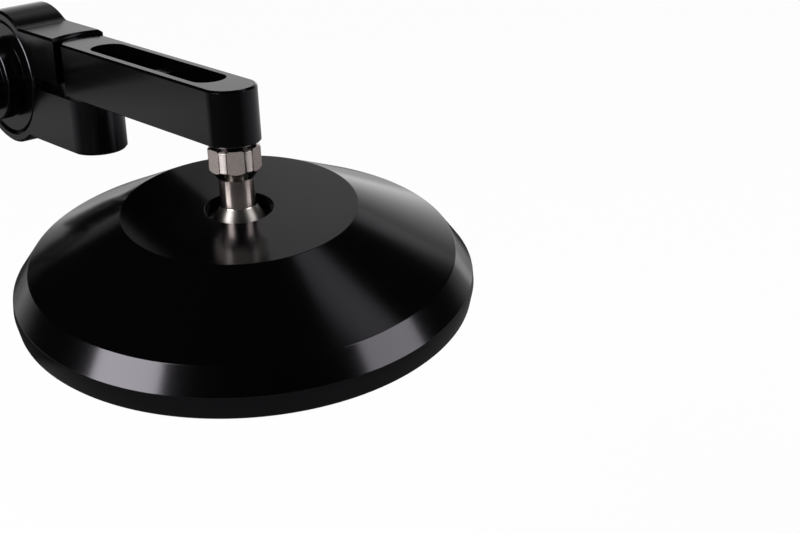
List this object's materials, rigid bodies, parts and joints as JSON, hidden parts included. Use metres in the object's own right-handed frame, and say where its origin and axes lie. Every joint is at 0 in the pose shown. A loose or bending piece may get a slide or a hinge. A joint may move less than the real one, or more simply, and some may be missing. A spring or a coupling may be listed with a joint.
{
  "type": "motorcycle bar end mirror",
  "caption": "Round convex mirror on a ball stud, with a folding arm, a split clamp ring and an expanding plug for the handlebar's end.",
  "frame": {"origin": "centre of the plug's end face that meets the handlebar's end, on the handlebar's axis", "axes": "+Y along the handlebar away from the grip, +X from the clamp ring out along the arm, +Z away from the mirror's glass"},
  "size_m": [0.1629, 0.104, 0.063],
  "materials": {
    "black_aluminium": "satin black anodised",
    "bare_aluminium": "turned",
    "stainless": "turned bright",
    "steel": "zinc plated",
    "black_steel": "black oxide",
    "liner_plastic": "moulded, natural",
    "black_plastic": "moulded, black",
    "rubber": "matt",
    "mirror": "silvered glass"
  },
  "bodies": {
    "plug": {"bar_plug": "black_aluminium", "expander_sleeve": "bare_aluminium", "sleeve_ring": "rubber", "wedge_nut": "bare_aluminium", "plug_bolt": "steel", "bolt_washer": "steel"},
    "clamp": {"clamp_body": "black_aluminium", "pinch_screw": "black_steel", "pivot_bush": "black_plastic"},
    "arm_group": {"arm": "black_aluminium", "pivot_screw": "steel", "pivot_washer": "steel", "spring_washer": "steel", "ball_stud": "stainless"},
    "upper_seat": {"upper_liner": "liner_plastic"},
    "lower_seat": {"lower_liner": "liner_plastic"},
    "head": {"housing": "black_aluminium", "seat_cup": "steel", "seat_spring": "steel", "retaining_plate": "steel", "plate_screw_set": "steel", "glass_tape": "rubber", "mirror_glass": "mirror"}
  },
  "joints": [
    {"name": "clamp_turn", "type": "hinge", "parent": "plug", "child": "clamp", "pos_m": [0, 0.0115, 0], "axis": [0, 1, 0], "continuous": true},
    {"name": "arm_fold", "type": "hinge", "parent": "clamp", "child": "arm_group", "pos_m": [0.0332, 0.0115, 0], "axis": [0, 0, 1], "range_deg": [-75, 75]},
    {"name": "head_tilt_side", "type": "hinge", "parent": "arm_group", "child": "upper_seat", "pos_m": [0.0957, 0.0115, -0.0231], "axis": [0, 1, 0], "range_deg": [-22.4, 5.6]},
    {"name": "head_tilt_fore", "type": "hinge", "parent": "upper_seat", "child": "lower_seat", "pos_m": [0.0957, 0.0115, -0.0231], "axis": [0.9893, 0, -0.1461], "range_deg": [-18.6, 9.4]},
    {"name": "head_spin", "type": "hinge", "parent": "lower_seat", "child": "head", "pos_m": [0.0957, 0.0115, -0.0231], "axis": [0.1456, -0.0802, 0.9861], "continuous": true}
  ]
}
